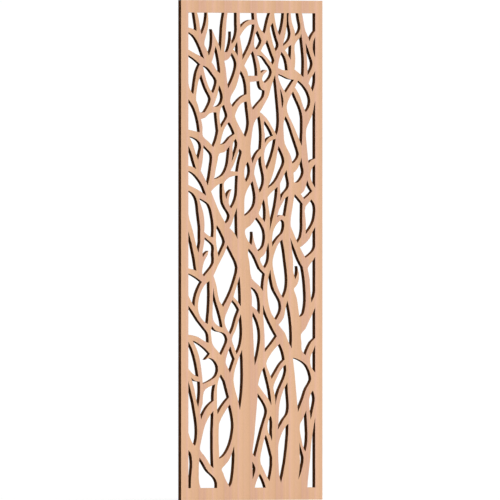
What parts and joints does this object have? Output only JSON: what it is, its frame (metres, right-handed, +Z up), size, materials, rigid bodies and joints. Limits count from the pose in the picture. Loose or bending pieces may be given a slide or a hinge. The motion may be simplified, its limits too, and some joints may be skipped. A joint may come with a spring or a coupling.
{
  "type": "fretwork wood panel",
  "caption": "Tall flat plywood panel with a plain border, pierced right through so that the wood left standing forms a wind-blown tree with twisting, crossing branches.",
  "frame": {"origin": "middle of the bottom edge, on the floor and halfway through the thickness", "axes": "+X to the right along the width seen from the front, +Y out of the back face, +Z up the height"},
  "size_m": [0.6, 0.021, 1.83],
  "materials": {
    "face_veneer": "smooth sanded face veneer, thin matt clear coat",
    "core_ply": "cut edge, browned by the cutter, grain along the height",
    "crossband": "cut edge, browned by the cutter, grain across the width"
  },
  "bodies": {
    "root": {"front_veneer": "face_veneer", "front_crossband": "crossband", "front_core": "core_ply", "centre_crossband": "crossband", "rear_core": "core_ply", "rear_crossband": "crossband", "rear_veneer": "face_veneer"}
  },
  "joints": []
}
